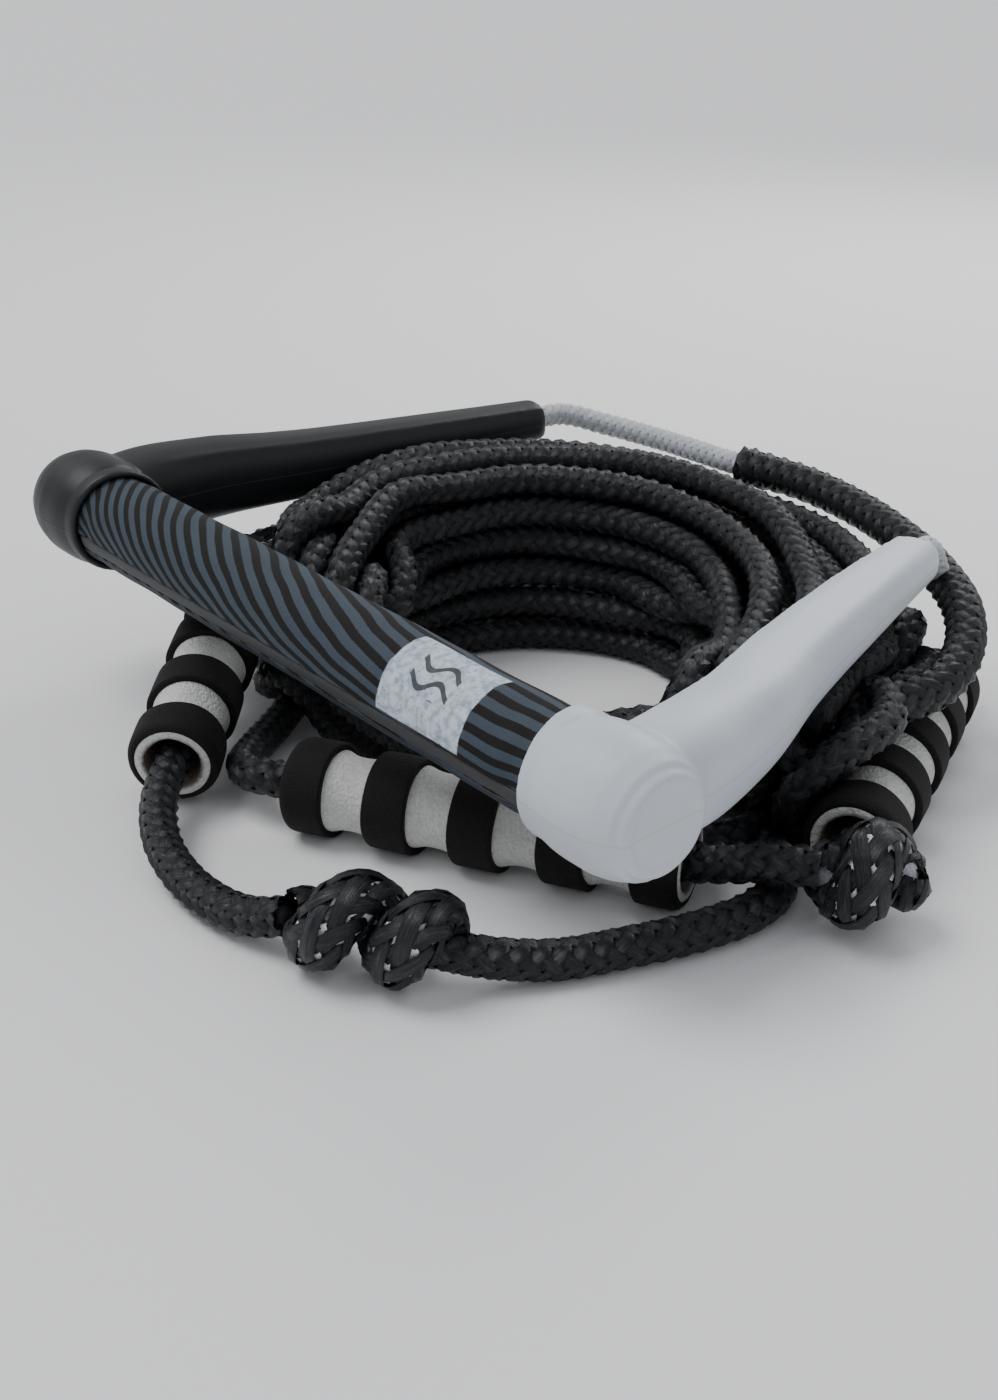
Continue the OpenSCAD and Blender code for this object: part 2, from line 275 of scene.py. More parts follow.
@dataclass(frozen=True)
class StripedFoam:
    """Foam wrap with flowing stripes, fine specks and a pale printed patch."""

    blue: Colour = (0.042, 0.06, 0.08)
    dark: Colour = (0.0055, 0.0043, 0.0042)
    print_tone: Colour = (0.62, 0.68, 0.74)
    radius: float = 14.3
    stripe_rate: float = 0.176
    print_from: float = 50.0
    print_to: float = 83.0

    def material(self) -> bpy.types.Material:
        """Builds the material."""
        sh = Shader("grip_foam_stripes")
        at = sh.place()
        x, y, z = sh.axes(at)
        along = x / MM
        lift = sh.math("ARCTAN2", z, y * -1)
        arc = lift * self.radius
        waver = (sh.noise(at, 45, 1) - 0.5) * 0.55
        run = (along + 100) / 200
        flow = run * run * -0.5 + run * 0.94
        crowd = sh.math("EXPONENT", (arc + 2) * -0.16) * 7
        level = (arc - crowd + flow * 200) * self.stripe_rate + waver
        wave = sh.math("SINE", level * FULL_TURN)
        grain = sh.noise(at, 1900, 3)
        ragged = (grain - 0.5) * 0.55
        stripe = sh.step(wave + ragged, -0.2, 0.08)
        speck = sh.step(sh.noise(at, 2600, 2), 0.6, 0.72)
        blue = sh.mix(speck * 0.5, self.blue, (0.085, 0.11, 0.14))
        blue = sh.mix(sh.step(sh.noise(at, 90, 3), 0.35, 0.7) * 0.45, blue, (0.032, 0.046, 0.064))
        dark = sh.mix(speck * 0.25, self.dark, (0.03, 0.027, 0.027))
        colour = sh.mix(stripe, dark, blue)
        edge = (sh.noise(at, 260, 3) - 0.5) * 2.2
        inside = sh.step(along + edge, self.print_from - 0.3, self.print_from + 0.3)
        inside = inside * (1 - sh.step(along + edge * 0.5, self.print_to, self.print_to + 0.5))
        inside = inside * sh.step(arc, 0.2, 0.7) * (1 - sh.step(arc, 25.5, 26.3))
        swell = sh.math("SINE", along * 0.52) * 1.6
        bars = sh.math("SINE", (arc + swell) * 1.15)
        emblem = sh.step(bars, 0.45, 0.62) * sh.step(arc, 8.6, 9.2)
        emblem = emblem * (1 - sh.step(arc, 20.3, 20.9))
        emblem = emblem * sh.step(along, self.print_from + 8, self.print_from + 8.6)
        emblem = emblem * (1 - sh.step(along, self.print_to - 8.6, self.print_to - 8))
        blotch = sh.step(sh.noise(at, 520, 5), 0.36, 0.7)
        pale = sh.mix(blotch, self.print_tone, (0.3, 0.38, 0.46))
        pale = sh.mix(emblem * 0.93, pale, (0.03, 0.035, 0.04))
        cover = inside * (1 - sh.step(sh.noise(at, 1500, 2), 0.62, 0.7) * 0.45)
        colour = sh.mix(cover, colour, pale)
        pores = sh.cells(at, 2300)
        height = pores * 0.45 + grain * 0.35 + stripe * 0.25
        return sh.finish(
            Base_Color=colour,
            Roughness=0.8 - stripe * 0.12 - inside * 0.1,
            Normal=sh.bump(height, 0.00012),
            Specular_IOR_Level=0.3,
        )


@dataclass(frozen=True)
class Foam:
    """Closed cell foam, pebbled on a moulded face and finer on a cut skin."""

    name: str
    tone: Colour
    shade: Colour
    pebble: float
    depth: float
    gloss: float
    burnt_bore: float = 0.0

    def material(self) -> bpy.types.Material:
        """Builds the material."""
        sh = Shader(self.name)
        at = sh.place()
        x, y, _ = sh.axes(at)
        grain = sh.cells(at, self.pebble)
        soft = sh.noise(at, self.pebble * 0.55, 3)
        shade = sh.step(grain * 0.6 + soft * 0.5, 0.25, 0.8)
        colour = sh.mix(shade * 0.7, self.tone, self.shade)
        stain = sh.step(sh.noise(at, 70, 4), 0.56, 0.75)
        colour = sh.mix(stain * 0.22, colour, self.shade)
        if self.burnt_bore:
            away = sh.math("SQRT", x * x + y * y) / MM + (soft - 0.5) * 1.4
            burnt = 1 - sh.step(away, self.burnt_bore - 0.1, self.burnt_bore + 1.5)
            colour = sh.mix(burnt * 0.85, colour, (0.085, 0.05, 0.028))
        return sh.finish(
            Base_Color=colour,
            Roughness=self.gloss + stain * 0.06,
            Normal=sh.bump(grain * 0.55 + soft * 0.6, self.depth),
            Specular_IOR_Level=0.32,
        )


@dataclass(frozen=True)
class Strand:
    """Flat bundles of filament: fine lines along each one, a silky gloss, painted highlight streaks and
    painted shade along each strand's edges.
    """

    name: str
    tone: Colour
    # The glint colour is a painted highlight: lighter streaks along the threads that stand in for light on
    # the filaments.
    painted_glint: Colour
    # The deep colour is a darker tone that varies at random per strand, and also the painted shade along
    # strand edges.
    dark_tone_and_edge_shade: Colour
    gloss: float
    lines: float = 15.0
    sheen: float = 0.45

    def material(self) -> bpy.types.Material:
        """Builds the material. The strand map runs u along it and v across."""
        sh = Shader(self.name)
        at = sh.place()
        strand = sh.add("ShaderNodeUVMap", {"uv_map": "Strand"})
        u, v, _ = sh.axes(strand)
        across = sh.math("FRACT", v)
        number = sh.math("FLOOR", v)
        drift = sh.noise(at, 160, 2) * 1.4
        spread = sh.add("ShaderNodeCombineXYZ", inputs={0: u * 0.9, 1: v * self.lines + drift, 2: number})
        threads = sh.noise(spread, 1.6, 3)
        fine = sh.math("SINE", (across * self.lines + drift + threads) * FULL_TURN) * 0.5 + 0.5
        edge = sh.math("ABSOLUTE", across - 0.5) * 2
        # Painted shade: the colour darkens toward each strand's edges, where it dips under its neighbours,
        # and the roughness rises there.
        painted_edge_shade = sh.step(edge, 0.5, 0.95)
        # Painted highlight: mask of the light streaks along the threads, which also lowers the roughness
        # there.
        painted_glint = sh.step(threads, 0.47, 0.74)
        tint = sh.add("ShaderNodeCombineXYZ", inputs={0: number * 0.37, 1: u * 0.06})
        varied = sh.step(sh.noise(tint, 3, 1), 0.3, 0.7)
        colour = sh.mix(painted_glint * 0.75, self.tone, self.painted_glint)
        colour = sh.mix(varied * 0.4, colour, self.dark_tone_and_edge_shade)
        # Painted shade along the strand edges.
        colour = sh.mix(painted_edge_shade * 0.9, colour, self.dark_tone_and_edge_shade)
        return sh.finish(
            Base_Color=colour,
            Roughness=self.gloss - painted_glint * 0.1 + painted_edge_shade * 0.2,
            Normal=sh.bump(fine * 0.5 + threads * 0.6, 0.00016),
            Specular_IOR_Level=self.sheen,
        )


@dataclass(frozen=True)
class PlainYarn:
    """The plain yarn inside a braid, seen through its openings."""

    name: str
    tone: Colour
    shade: Colour

    def material(self) -> bpy.types.Material:
        """Builds the material."""
        sh = Shader(self.name)
        at = sh.place()
        fibre = sh.noise(at, 1500, 4)
        colour = sh.mix(sh.step(fibre, 0.35, 0.7), self.tone, self.shade)
        normal = sh.bump(fibre, 0.0003)
        return sh.finish(Base_Color=colour, Roughness=0.6 + fibre * 0.2, Normal=normal)


@dataclass(frozen=True)
class Metal:
    """Drawn aluminium tube with lines along it."""

    name: str = "tube_aluminium"
    tone: Colour = (0.72, 0.73, 0.75)

    def material(self) -> bpy.types.Material:
        """Builds the material."""
        sh = Shader(self.name)
        stretched = sh.add("ShaderNodeMapping", inputs={"Vector": sh.place(), "Scale": (0.04, 1, 1)})
        drawn = sh.noise(stretched, 2400, 3)
        colour = sh.mix(sh.step(drawn, 0.3, 0.7) * 0.4, self.tone, (0.5, 0.51, 0.53))
        normal = sh.bump(drawn, 0.00003)
        return sh.finish(Base_Color=colour, Roughness=0.26 + drawn * 0.16, Normal=normal, Metallic=1.0)


@dataclass(frozen=True)
class Studio:
    """Pale floor, soft lights and the camera."""

    lens: float = 46.3
    sensor: float = 36.0
    azimuth: float = 50.44
    elevation: float = 24.0
    distance: float = 517.0
    target: Colour = (9.0, -19.0, 25.0)
    sky_tint: tuple[float, float, float, float] = (0.93, 0.95, 1.0, 1.0)
    sky_light: float = 0.62
    sun_power: float = 1.5
    sun_spread: float = 35.0
    sun_way: Colour = (0.42, 0.3, -0.9)
    floor_half: float = 6.0

    def camera(self) -> None:
        """Makes the camera and makes it the scene's own."""
        data = bpy.data.cameras.new("camera")
        data.lens = self.lens
        data.sensor_width = self.sensor
        a, e = math.radians(self.azimuth), math.radians(self.elevation)
        look = Vector((-math.sin(a) * math.cos(e), math.cos(a) * math.cos(e), -math.sin(e)))
        camera = bpy.data.objects.new("camera", data)
        camera.location = (Vector(self.target) - look * self.distance) * MM
        camera.rotation_euler = look.to_track_quat("-Z", "Y").to_euler()
        bpy.context.scene.collection.objects.link(camera)
        bpy.context.scene.camera = camera

    def lamp(self, name: str, place: Colour, size: float, power: float) -> None:
        """Adds one soft area light aimed at the object.

        Args:
            name: The light's name.
            place: Where it hangs, in metres.
            size: Its side, in metres.
            power: Its power, in watts.
        """
        data = bpy.data.lights.new(name, "AREA")
        data.size = size
        data.energy = power
        lamp = bpy.data.objects.new(name, data)
        lamp.location = place
        lamp.rotation_euler = (-Vector(place)).to_track_quat("-Z", "Y").to_euler()
        bpy.context.scene.collection.objects.link(lamp)

    def build(self) -> None:
        """Makes the floor, the lights and the light all round."""
        world = bpy.data.worlds.new("studio")
        world.use_nodes = True
        world.node_tree.nodes["Background"].inputs[0].default_value = self.sky_tint
        world.node_tree.nodes["Background"].inputs[1].default_value = self.sky_light
        bpy.context.scene.world = world
        sun = bpy.data.lights.new("key", "SUN")
        sun.energy = self.sun_power
        sun.angle = math.radians(self.sun_spread)
        key = bpy.data.objects.new("key", sun)
        key.rotation_euler = Vector(self.sun_way).to_track_quat("-Z", "Y").to_euler()
        bpy.context.scene.collection.objects.link(key)
        self.lamp("rim", (-0.4, 0.9, 0.7), 0.5, 4)
        half = self.floor_half
        mesh = bpy.data.meshes.new("floor")
        corners = [(-half, -half, 0), (half, -half, 0), (half, half, 0), (-half, half, 0)]
        mesh.from_pydata(corners, [], [(0, 1, 2, 3)])
        floor = bpy.data.objects.new("floor", mesh)
        bpy.context.scene.collection.objects.link(floor)
        sh = Shader("floor_paper")
        fibre = sh.noise(sh.place(), 300, 2)
        colour = sh.mix(fibre * 0.3, (0.9, 0.9, 0.9), (0.86, 0.86, 0.86))
        mesh.materials.append(sh.finish(Base_Color=colour, Roughness=0.9))


# ---------------------------------------------------------------- curves
def unit(v: Sequence[float]) -> np.ndarray:
    """A vector's direction."""
    v = np.asarray(v, float)
    return v / np.linalg.norm(v)


def resampled(line: np.ndarray, step: float) -> np.ndarray:
    """A line with its points evenly spaced.

    Args:
        line: Points, one to a row.
        step: Spacing to aim at.

    Returns:
        The new points, with the same ends.
    """
    run = np.concatenate([[0], np.cumsum(np.linalg.norm(np.diff(line, axis=0), axis=1))])
    count = max(4, round(run[-1] / step))
    even = np.linspace(0, run[-1], count + 1)
    return np.column_stack([np.interp(even, run, line[:, k]) for k in range(3)])


def smooth_route(points: Iterable[Sequence[float]], step: float) -> np.ndarray:
    """A smooth curve through given points.

    Args:
        points: The points, in millimetres.
        step: Spacing of the result.

    Returns:
        Evenly spaced points on the curve.
    """
    p = np.asarray(list(points), float)
    gap = np.linalg.norm(np.diff(p, axis=0), axis=1)[:, None]
    slope = np.diff(p, axis=0) / gap
    between = (slope[:-1] * gap[1:] + slope[1:] * gap[:-1]) / (gap[1:] + gap[:-1])
    head = np.vstack([slope[:1], between, slope[-1:]])
    t = np.linspace(0, 1, 24, endpoint=False)[:, None]
    rise, back = 3 * t**2 - 2 * t**3, t**3 - t**2
    pieces = [
        p[i] * (1 - rise) + p[i + 1] * rise + gap[i] * (head[i] * (back - t**2 + t) + head[i + 1] * back)
        for i in range(len(gap))
    ]
    return resampled(np.vstack([*pieces, p[-1:]]), step)


def spread_over(swell: np.ndarray | None, count: int) -> np.ndarray:
    """Factors given along a line, spread over a number of evenly spaced points."""
    if swell is None:
        return np.ones(count)
    return np.interp(np.linspace(0, 1, count), np.linspace(0, 1, len(swell)), swell)


def around_line(path: np.ndarray, side: np.ndarray, up: np.ndarray, r: Any, angle: np.ndarray) -> np.ndarray:
    """Points at a radius and an angle about each point of a line."""
    return path + side * (r * np.cos(angle))[:, None] + up * (r * np.sin(angle))[:, None]


def length_of(line: np.ndarray) -> float:
    """Length of a line."""
    return float(np.linalg.norm(np.diff(line, axis=0), axis=1).sum())


def carried_frames(line: np.ndarray) -> tuple[np.ndarray, np.ndarray]:
    """Two directions square to a line, carried along it without twist.

    Args:
        line: Points along it.

    Returns:
        Both directions at each point.
    """
    head = np.gradient(line, axis=0)
    head /= np.linalg.norm(head, axis=1)[:, None]
    seed = (0, 0, 1) if abs(head[0][2]) < 0.9 else (0, 1, 0)
    side = np.empty_like(head)
    side[0] = unit(np.cross(head[0], seed))
    for i in range(1, len(line)):
        side[i] = unit(side[i - 1] - head[i] * np.dot(side[i - 1], head[i]))
    return side, np.cross(head, side)


# ---------------------------------------------------------------- meshes
def new_object(name: str, verts: np.ndarray, faces: Sequence[Sequence[int]]) -> bpy.types.Object:
    """Makes a smooth shaded mesh object from points in millimetres."""
    mesh = bpy.data.meshes.new(name)
    mesh.from_pydata((np.asarray(verts, float) * MM).tolist(), [], list(faces))
    mesh.update()
    mesh.shade_smooth()
    piece = bpy.data.objects.new(name, mesh)
    bpy.context.scene.collection.objects.link(piece)
    return piece


def grid_object(name: str, grid: np.ndarray, joined: bool = False) -> bpy.types.Object:
    """A closed surface from rings of points.

    Args:
        name: The piece's name.
        grid: Rings of points, as rows x columns x 3.
        joined: True where the last ring meets the first, as on a hollow turning.

    Returns:
        The new piece, its ends closed where they aren't joined.
    """
    rows, cols = grid.shape[:2]
    index = np.arange(rows * cols).reshape(rows, cols)
    ahead = np.roll(index, -1, axis=0) if joined else index[1:]
    base = index if joined else index[:-1]
    quads = np.stack([base, ahead, np.roll(ahead, -1, axis=1), np.roll(base, -1, axis=1)], axis=-1)
    faces = quads.reshape(-1, 4).tolist()
    if not joined:
        faces += [index[0].tolist(), index[-1][::-1].tolist()]
    piece = new_object(name, grid.reshape(-1, 3), faces)
    work = bmesh.new()
    work.from_mesh(piece.data)
    bmesh.ops.recalc_face_normals(work, faces=work.faces)
    work.to_mesh(piece.data)
    work.free()
    return piece


def turned(profile: Sequence[tuple[float, float]], around: int) -> np.ndarray:
    """Rings of a turning about Z.

    Args:
        profile: Radius and height of each ring.
        around: Points in a ring.

    Returns:
        Rings of points.
    """
    a = np.linspace(0, FULL_TURN, around, endpoint=False)
    return np.array([np.column_stack([r * np.cos(a), r * np.sin(a), np.full(around, z)]) for r, z in profile])


def applied(piece: bpy.types.Object) -> None:
    """Turns a piece's modifiers into its mesh."""
    graph = bpy.context.evaluated_depsgraph_get()
    mesh = bpy.data.meshes.new_from_object(piece.evaluated_get(graph))
    piece.modifiers.clear()
    piece.data = mesh
    mesh.shade_smooth()


def dress(piece: bpy.types.Object, body: str, slot: str, material: bpy.types.Material, *nodes: str) -> None:
    """Gives a piece its body and finish, and hides what it stands for."""
    piece.data.materials.clear()
    piece.data.materials.append(material)
    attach(piece, body)
    if nodes:
        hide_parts(*nodes)


# ---------------------------------------------------------------- rope
@dataclass
class Braid:
    """A round braid: flat strands that cross over and under a core."""

    radius: float
    ribbon: float = 3.5
    lead: float = 42.0
    carriers: int = 8
    lift: float = 0.75
    crown: float = 0.42
    step: float = 2.0
    core_sides: int = 10

    def strands(self, name: str, line: np.ndarray, swell: np.ndarray | None = None) -> bpy.types.Object:
        """Builds the strands along a line.

        Args:
            name: The piece's name.
            line: The rope's middle, in millimetres.
            swell: Factor on the radius at each evenly spaced point of the line.

        Returns:
            One piece with every strand.
        """
        path = resampled(line, self.step)
        rows = len(path)
        side, up = carried_frames(path)
        run = np.arange(rows) * length_of(path) / (rows - 1)
        grow = spread_over(swell, rows)
        middle = self.radius - self.lift - self.crown
        slant = math.atan(FULL_TURN * middle / self.lead)
        half = self.ribbon / 2 / math.cos(slant) / middle
        verts, maps = [], []
        for way in (1, -1):
            for k in range(self.carriers):
                turn = FULL_TURN * (k / self.carriers + way * run / self.lead)
                cross = 2 * self.carriers * run / self.lead
                phase = math.pi / 2 * (2 * k + way * cross) + math.pi / 4
                over = way * np.tanh(1.5 * np.cos(phase)) * self.lift
                for across in (-1, 0, 1):
                    angle = turn + across * half
                    r = (middle + over + (self.crown if across == 0 else -self.crown * 0.6)) * grow
                    verts.append(around_line(path, side, up, r, angle))
                    number = k + (0 if way > 0 else self.carriers)
                    v = number + MAP_EDGE + (0.5 - MAP_EDGE) * (across + 1)
                    maps.append(np.column_stack([run / self.ribbon, np.full(rows, v)]))
        ribbons = 2 * self.carriers
        index = np.arange(ribbons * 3 * rows).reshape(ribbons, 3, rows)
        first, second = index[:, :-1], index[:, 1:]
        quads = np.stack([first[..., :-1], first[..., 1:], second[..., 1:], second[..., :-1]], axis=-1)
        piece = new_object(name, np.vstack(verts), quads.reshape(-1, 4).tolist())
        layer = piece.data.uv_layers.new(name="Strand")
        corners = np.empty(len(piece.data.loops), np.int32)
        piece.data.loops.foreach_get("vertex_index", corners)
        layer.data.foreach_set("uv", np.vstack(maps)[corners].astype(np.float32).ravel())
        return piece

    def core(
        self, name: str, line: np.ndarray, inset: float = 1.15, swell: np.ndarray | None = None
    ) -> bpy.types.Object:
        """Builds the yarn core along a line.

        Args:
            name: The piece's name.
            line: The rope's middle, in millimetres.
            inset: How far the core lies inside the outside radius.
            swell: Factor on the radius along the line.

        Returns:
            One closed tube with rounded ends.
        """
        path = resampled(line, 4.5)
        side, up = carried_frames(path)
        a = np.linspace(0, FULL_TURN, self.core_sides, endpoint=False)
        grow = spread_over(swell, len(path))
        r = (self.radius - inset) * grow
        r[[0, -1]] *= 0.6
        ring = side[:, None] * np.cos(a)[None, :, None] + up[:, None] * np.sin(a)[None, :, None]
        return grid_object(name, path[:, None] + ring * r[:, None, None])


def declared(
    radius: float,
) -> None:
    """Works out the rope's diameter in metres and does nothing with it.

    Args:
        radius: The rope's outside radius, in millimetres.
    """
    2 * radius * MM


@dataclass
class Finishes:
    """Every finish on the object, built once."""

    rope: bpy.types.Material
    rope_core: bpy.types.Material
    flecks: bpy.types.Material
    bridle: bpy.types.Material
    sleeve: bpy.types.Material
    black: bpy.types.Material
    white: bpy.types.Material
    stripes: bpy.types.Material
    strip: bpy.types.Material
    light_foam: bpy.types.Material
    dark_foam: bpy.types.Material
    metal: bpy.types.Material
    plug: bpy.types.Material

    @staticmethod
    def make(place: Matrix) -> "Finishes":
        """Builds all the materials.

        Args:
            place: Where the handle stands, which sets its mould line.

        Returns:
            The finishes.
        """
        across = place.to_3x3() @ Vector((0, 0, 1))
        up, parting_at = tuple(across), across.dot(place.translation)
        return Finishes(
            rope=Strand(
                "rope_filament", tone=(0.004, 0.0045, 0.0055), painted_glint=(0.085, 0.1, 0.125),
                dark_tone_and_edge_shade=(0.001, 0.001, 0.0013), gloss=0.32,
            ).material(),
            rope_core=PlainYarn("rope_inside", (0.006, 0.006, 0.007), (0.012, 0.012, 0.014)).material(),
            flecks=PlainYarn("core_yarn_white", (0.78, 0.8, 0.83), (0.5, 0.53, 0.58)).material(),
            bridle=Strand(
                "bridle_filament", tone=(0.74, 0.77, 0.8), painted_glint=(0.86, 0.88, 0.9),
                dark_tone_and_edge_shade=(0.5, 0.54, 0.58), gloss=0.5,
            ).material(),
            sleeve=Strand(
                "sleeve_filament", tone=(0.0038, 0.0042, 0.005), painted_glint=(0.06, 0.072, 0.09),
                dark_tone_and_edge_shade=(0.001, 0.001, 0.0013), gloss=0.36,
            ).material(),
            black=Rubber(
                "rubber_black", (0.006, 0.0072, 0.0086), (0.009, 0.0105, 0.0122),
                scuff=(0.03, 0.034, 0.038), seam=(0.018, 0.02, 0.022), gloss=0.44,
                parting_up=up, parting_at=parting_at,
            ).material(),
            white=Rubber(
                "rubber_white", (0.56, 0.605, 0.655), (0.63, 0.67, 0.715),
                scuff=(0.5, 0.52, 0.54), seam=(0.52, 0.47, 0.38), gloss=0.42,
                parting_up=up, parting_at=parting_at,
            ).material(),
            stripes=StripedFoam().material(),
            strip=Foam(
                "seam_strip_rubber", (0.042, 0.043, 0.045), (0.055, 0.056, 0.058),
                pebble=2600, depth=0.00005, gloss=0.62,
            ).material(),
            light_foam=Foam(
                "float_foam_light", (0.7, 0.71, 0.68), (0.5, 0.51, 0.48),
                pebble=1150, depth=0.00055, gloss=0.78, burnt_bore=8.0,
            ).material(),
            dark_foam=Foam(
                "float_foam_dark", (0.0042, 0.0036, 0.0038), (0.0085, 0.0072, 0.0074),
                pebble=1700, depth=0.0003, gloss=0.85,
            ).material(),
            metal=Metal().material(),
            plug=Foam(
                "plug_plastic", (0.08, 0.08, 0.085), (0.1, 0.1, 0.105),
                pebble=3200, depth=0.00003, gloss=0.5,
            ).material(),
        )


# ---------------------------------------------------------------- handle
@dataclass
class Handle:
    """The grip bar with its foam, tube, plugs and two moulded caps."""

    finishes: Finishes | None = None
    length: float = 280.0
    grip_length: float = 205.0
    grip_r: float = 14.3
    collar_r: float = 16.5
    elbow_r: float = 17.5
    reach: float = 155.0
    toe_in: float = 55.7
    tip_w: float = 15.0
    tip_h: float = 13.0
    disc_r: float = 13.0
    fall: float = 2.0
    rise: float = 4.4
    strip_angle: float = 12.0
    strip_w: float = 4.5
    voxel: float = 0.8
    centre: Colour = (-15.0, -66.5, 52.0)

    def place(self) -> Matrix:
        """Where the handle's own frame stands in the model's frame."""
        fall = Matrix.Rotation(math.radians(self.fall), 4, "Y")
        rise = Matrix.Rotation(math.radians(self.rise), 4, "X")
        return Matrix.Translation(Vector(self.centre) * MM) @ (fall @ rise)

    def point(self, p: Sequence[float]) -> np.ndarray:
        """A point of the handle's own frame, in the model's frame, in millimetres."""
        return np.array(self.place() @ (Vector(p) * MM)) / MM

    def tip(self, side: Side, out: float = 0.0) -> np.ndarray:
        """The middle of an arm's tip, moved out along the arm."""
        away = unit((self.toe_x() - self.elbow_x(), self.reach, 0)) * out
        return self.point((side.value * (self.toe_x() + away[0]), self.reach + away[1], 0))

    def toe_x(self) -> float:
        """How far a tip stands from the handle's middle."""
        return self.length / 2 - self.toe_in

    def elbow_x(self) -> float:
        """How far an elbow's middle stands from the handle's middle."""
        return (self.grip_length + self.length) / 4 + 2

    def foam(self) -> None:
        """Builds the foam sleeve, with the channel that the strip lies in."""
        mouth = self.grip_length / 2
        xs = np.linspace(-mouth - 5, mouth + 5, 216)
        angles = np.sort(np.concatenate([
            np.linspace(-math.pi, math.pi, 116, endpoint=False),
            math.radians(-self.strip_angle) + np.linspace(-0.24, 0.24, 27),
        ]))
        x, a = np.meshgrid(xs, angles, indexing="ij")
        off = (a + math.radians(self.strip_angle)) * self.grip_r
        ragged = 0.22 * np.sin(x * 0.41) * np.sin(x * 0.173 + 1) + 0.1 * np.sin(x * 1.7)
        edge = np.abs(off) - (self.strip_w / 2 + 0.12 + ragged)
        channel = 0.75 / (1 + np.exp(edge / 0.13))
        lipped = 0.14 * np.exp(-((edge - 0.5) / 0.45) ** 2)
        squeezed = 0.5 * np.exp(-((mouth - np.abs(x)) / 3.0) ** 2)
        soft = 0.1 * np.sin(x * 0.09 + 2 * a) + 0.07 * np.sin(x * 0.23 - 3 * a)
        r = self.grip_r - channel + lipped - squeezed + soft
        grid = np.stack([x, -r * np.cos(a), r * np.sin(a)], axis=-1)
        piece = grid_object("grip_foam_sleeve", grid)
        piece.matrix_world = self.place()
        dress(piece, "handle", "grip_foam", self.finishes.stripes, "grip_foam")

    def strip(self) -> None:
        """Builds the seam strip with its slightly ragged edges."""
        mouth = self.grip_length / 2
        xs = np.linspace(-mouth - 4, mouth + 4, 320)
        rings = []
        for x in xs:
            ragged = 0.16 * math.sin(x * 0.41) * math.sin(x * 0.173 + 1) + 0.07 * math.sin(x * 1.9)
            half = (self.strip_w / 2 + ragged) / self.grip_r
            top = self.grip_r - 0.1 + 0.05 * math.sin(x * 0.3)
            section = [
                (-1, -1.1), (-1, -0.25), (-0.86, 0), (-0.4, 0.06),
                (0.4, 0.06), (0.86, 0), (1, -0.25), (1, -1.1),
            ]
            angles = [(-math.radians(self.strip_angle) + u * half, top + d) for u, d in section]
            rings.append([(x, -r * math.cos(a), r * math.sin(a)) for a, r in angles])
        piece = grid_object("grip_strip", np.array(rings))
        piece.matrix_world = self.place()
        dress(piece, "handle", "seam_strip", self.finishes.strip, "grip_seam_strip")

    def cap_rings(self) -> np.ndarray:
        """Rings of the collar, elbow and end disc, about the handle's X axis."""
        mouth, end = self.grip_length / 2, self.length / 2
        collar, elbow, disc = self.collar_r, self.elbow_r, self.disc_r
        profile = [
            (0.1, mouth + 4), (self.grip_r - 0.4, mouth + 4), (self.grip_r - 0.1, mouth + 1.5),
            (self.grip_r + 0.4, mouth + 0.3), (collar - 1.1, mouth), (collar - 0.3, mouth + 0.5),
            (collar, mouth + 1.5), (collar, mouth + 7.4), (collar - 1.2, mouth + 8.6),
            (collar + 0.1, mouth + 9.8), (elbow - 0.2, mouth + 14), (elbow, mouth + 17),
            (elbow, end - 13), (elbow - 0.9, end - 8), (elbow - 2.3, end - 4.4),
            (disc + 1.8, end - 3.0), (disc + 0.4, end - 2.9), (disc + 0.1, end - 0.9),
            (disc - 0.9, end), (disc - 2.4, end), (disc - 3.4, end - 0.5), (0.1, end - 0.5),
        ]
        rings = turned(profile, 72)
        x, y, z = rings[..., 2].copy(), rings[..., 0].copy(), rings[..., 1].copy()
        x += 2.25 * (1 - y / collar) * np.clip((mouth + 10 - x) / 10, 0, 1)
        return np.stack([x, y, z], axis=-1)

    def arm_rings(self) -> np.ndarray:
        """Rings of an arm, from the elbow to its tip."""
        ex, tx, reach = self.elbow_x(), self.toe_x(), self.reach
        line = [
            (ex, 0, 0), (ex, 9, 0), (ex - 0.5, 20, 0), (ex - 4, 40, 0),
            (ex + (tx - ex) * 0.42, reach * 0.48, 0), (ex + (tx - ex) * 0.75, reach * 0.76, 0),
            (tx, reach, 0),
        ]
        wide = [12, 13.5, 13.5, 12.2, 10.8, 9.3, self.tip_w / 2]
        high = [12, 13.5, 14.4, 13, 11, 9, self.tip_h / 2]
        path = smooth_route(line, 1.6)
        share = np.linspace(0, 1, len(path))
        knots = np.concatenate([[0], np.cumsum(np.linalg.norm(np.diff(np.array(line), axis=0), axis=1))])
        knots /= knots[-1]
        width, height = np.interp(share, knots, wide), np.interp(share, knots, high)
        smoothing = np.ones(9) / 9
        width = np.convolve(np.pad(width, 4, "edge"), smoothing, "valid")
        height = np.convolve(np.pad(height, 4, "edge"), smoothing, "valid")
        closing = np.clip((share - 0.985) / 0.015, 0, 1) ** 2
        head = np.gradient(path, axis=0)
        head /= np.linalg.norm(head, axis=1)[:, None]
        side = np.cross(head, (0, 0, 1))
        a = np.linspace(0, FULL_TURN, 64, endpoint=False)
        ca, sa = np.cos(a), np.sin(a)
        power = 2 / 2.7
        cx, sz = np.sign(ca) * np.abs(ca) ** power, np.sign(sa) * np.abs(sa) ** power
        ridge = 0.7 * np.exp(-((a - 2.25) / 0.1) ** 2)
        facet = -0.9 * np.exp(-((a - 1.35) / 0.42) ** 2)
